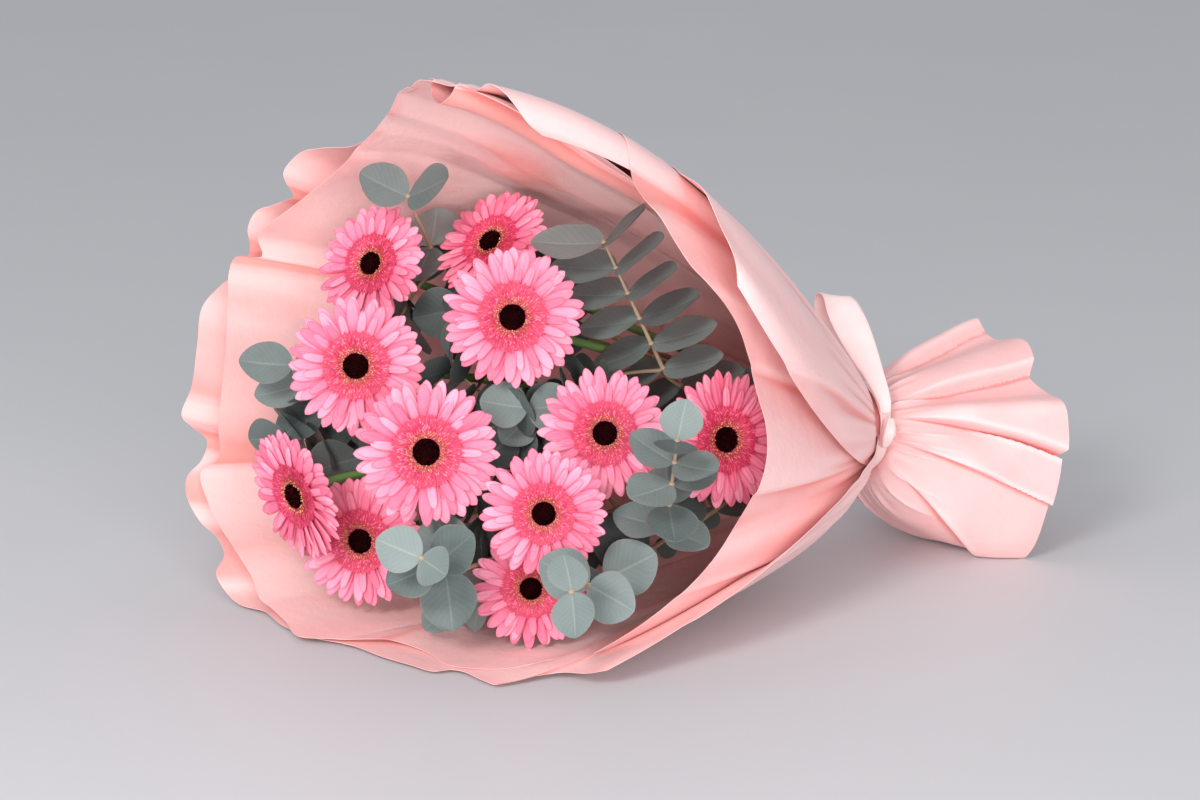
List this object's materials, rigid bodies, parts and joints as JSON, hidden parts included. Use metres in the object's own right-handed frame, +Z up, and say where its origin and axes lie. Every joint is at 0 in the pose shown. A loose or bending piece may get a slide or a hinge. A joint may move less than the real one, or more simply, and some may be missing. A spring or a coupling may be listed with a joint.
{
  "type": "wrapped bouquet",
  "caption": "Lying bouquet of gerberas and eucalyptus sprigs in layered fluted wrapping paper, gathered under a satin ribbon above a flared paper skirt",
  "frame": {"origin": "middle of the footprint of the bounding box, on the surface the bouquet lies on", "axes": "+X toward the paper skirt and the stem ends, -Y toward the side the flowers face, +Z up"},
  "size_m": [0.6398, 0.429, 0.3867],
  "materials": {
    "ray_petal": "living ray petals, satin matt, finely ribbed, paler toward the tips",
    "inner_floret": "short narrow florets, matt, deep pink",
    "flower_eye": "packed disc florets, matt, near black with an orange-gold edge",
    "flower_stem": "green stem with a fine down, satin",
    "eucalyptus_leaf": "waxy blue-green leaf with a bloom, matt, pale midrib",
    "wrapping_paper": "smooth matt florist paper, pale pink outside and salmon inside",
    "satin_ribbon": "single-face satin, soft sheen along the weave",
    "cord": "twisted natural twine"
  },
  "bodies": {
    "root": {"binding_cord": "cord", "eucalyptus_01": "eucalyptus_leaf", "eucalyptus_02": "eucalyptus_leaf", "eucalyptus_03": "eucalyptus_leaf", "eucalyptus_04": "eucalyptus_leaf", "eucalyptus_05": "eucalyptus_leaf", "eucalyptus_06": "eucalyptus_leaf", "eucalyptus_07": "eucalyptus_leaf", "eucalyptus_08": "eucalyptus_leaf", "gerbera_01_eye": "flower_eye", "gerbera_01_fringe": "inner_floret", "gerbera_01_petals": "ray_petal", "gerbera_01_stem": "flower_stem", "gerbera_02_eye": "flower_eye", "gerbera_02_fringe": "inner_floret", "gerbera_02_petals": "ray_petal", "gerbera_02_stem": "flower_stem", "gerbera_03_eye": "flower_eye", "gerbera_03_fringe": "inner_floret", "gerbera_03_petals": "ray_petal", "gerbera_03_stem": "flower_stem", "gerbera_04_eye": "flower_eye", "gerbera_04_fringe": "inner_floret", "gerbera_04_petals": "ray_petal", "gerbera_04_stem": "flower_stem", "gerbera_05_eye": "flower_eye", "gerbera_05_fringe": "inner_floret", "gerbera_05_petals": "ray_petal", "gerbera_05_stem": "flower_stem", "gerbera_06_eye": "flower_eye", "gerbera_06_fringe": "inner_floret", "gerbera_06_petals": "ray_petal", "gerbera_06_stem": "flower_stem", "gerbera_07_eye": "flower_eye", "gerbera_07_fringe": "inner_floret", "gerbera_07_petals": "ray_petal", "gerbera_07_stem": "flower_stem", "gerbera_08_eye": "flower_eye", "gerbera_08_fringe": "inner_floret", "gerbera_08_petals": "ray_petal", "gerbera_08_stem": "flower_stem", "gerbera_09_eye": "flower_eye", "gerbera_09_fringe": "inner_floret", "gerbera_09_petals": "ray_petal", "gerbera_09_stem": "flower_stem", "gerbera_10_eye": "flower_eye", "gerbera_10_fringe": "inner_floret", "gerbera_10_petals": "ray_petal", "gerbera_10_stem": "flower_stem", "gerbera_11_eye": "flower_eye", "gerbera_11_fringe": "inner_floret", "gerbera_11_petals": "ray_petal", "gerbera_11_stem": "flower_stem", "ribbon_band": "satin_ribbon", "ribbon_bow": "satin_ribbon", "wrap_sheet_inner": "wrapping_paper", "wrap_sheet_outer": "wrapping_paper", "wrap_sheet_side": "wrapping_paper", "wrap_sheet_top": "wrapping_paper", "wrap_skirt": "wrapping_paper"}
  },
  "joints": []
}
